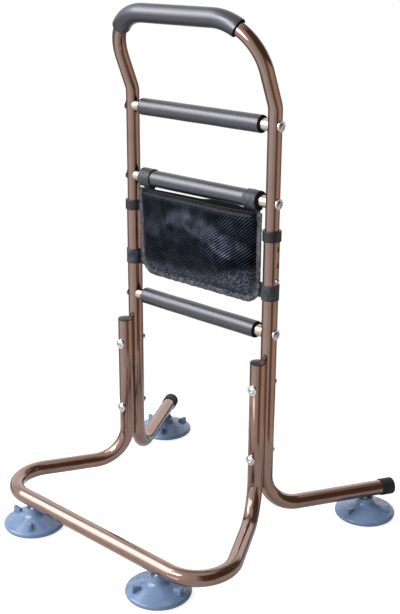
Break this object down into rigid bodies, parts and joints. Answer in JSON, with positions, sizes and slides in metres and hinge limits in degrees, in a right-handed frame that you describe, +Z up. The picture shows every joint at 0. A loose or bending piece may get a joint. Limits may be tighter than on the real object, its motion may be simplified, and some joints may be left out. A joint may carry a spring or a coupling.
{
  "type": "couch standing aid",
  "caption": "Free-standing stand-up aid for a couch: bent-tube frame on suction cups, leaning handle hoop that adjusts in height, foam grips on the crossbars, mesh pouch hung between the posts.",
  "frame": {"origin": "on the floor, under the middle of the part's bounding box", "axes": "+Z up; -Y to the front, the side that the base hoop and the leaning handle reach out to; +X to the right of someone who faces the front and looks along +Y; the two posts stand apart along X"},
  "size_m": [0.5832, 0.5146, 0.8457],
  "materials": {
    "bronze_tube": "steel tube with a glossy bronze-brown metallic coat",
    "champagne_bar": "satin champagne anodised tube",
    "foam": "matt dark grey closed-cell foam with a smooth skin",
    "black_plastic": "satin moulded plastic",
    "black_rubber": "satin black rubber",
    "cup_rubber": "satin blue-grey elastomer",
    "bright_steel": "bright plated steel",
    "insert_metal": "plain turned metal",
    "spring_steel": "rolled spring strip",
    "mesh_cloth": "fine black diagonal mesh",
    "back_cloth": "plain black woven cloth",
    "binding_tape": "dark grey woven tape",
    "strap_web": "black hook-and-loop webbing"
  },
  "bodies": {
    "base": {"base_hoop": "bronze_tube", "left_post": "bronze_tube", "right_post": "bronze_tube", "left_collar": "black_plastic", "right_collar": "black_plastic", "left_upright_plug": "black_plastic", "right_upright_plug": "black_plastic", "left_rear_cap": "black_rubber", "right_rear_cap": "black_rubber", "front_left_cup": "cup_rubber", "front_right_cup": "cup_rubber", "rear_left_cup": "cup_rubber", "rear_right_cup": "cup_rubber", "cup_studs": "bright_steel", "cup_rivet_nuts": "bright_steel", "base_bolts": "bright_steel", "base_nuts": "bright_steel", "lower_bar": "champagne_bar", "lower_bar_grip": "foam", "lower_bar_screws": "bright_steel", "lower_bar_inserts": "insert_metal"},
    "upper_frame": {"upper_hoop": "bronze_tube", "handle_grip": "foam", "upper_bar": "champagne_bar", "upper_bar_grip": "foam", "middle_bar": "champagne_bar", "middle_bar_grip": "foam", "upper_bar_screws": "bright_steel", "upper_bar_inserts": "insert_metal", "left_snap_spring": "spring_steel", "right_snap_spring": "spring_steel", "pouch_front": "mesh_cloth", "pouch_back": "back_cloth", "pouch_binding": "binding_tape", "left_bar_strap": "strap_web", "right_bar_strap": "strap_web", "left_post_strap": "strap_web", "right_post_strap": "strap_web"},
    "left_button": {"left_snap_button": "bright_steel"},
    "right_button": {"right_snap_button": "bright_steel"}
  },
  "joints": [
    {"name": "height_slide", "type": "slide", "parent": "base", "child": "upper_frame", "axis": [0, 0, 1], "range_m": [0, 0.0508], "deforming": ["left_snap_spring", "right_snap_spring", "left_snap_button", "right_snap_button"]},
    {"name": "left_button_press", "type": "slide", "parent": "upper_frame", "child": "left_button", "axis": [1, 0, 0], "range_m": [0, 0.0046], "stiffness_N_per_m": 2000, "deforming": ["left_snap_spring"]},
    {"name": "right_button_press", "type": "slide", "parent": "upper_frame", "child": "right_button", "axis": [-1, 0, 0], "range_m": [0, 0.0046], "stiffness_N_per_m": 2000, "deforming": ["right_snap_spring"]}
  ]
}
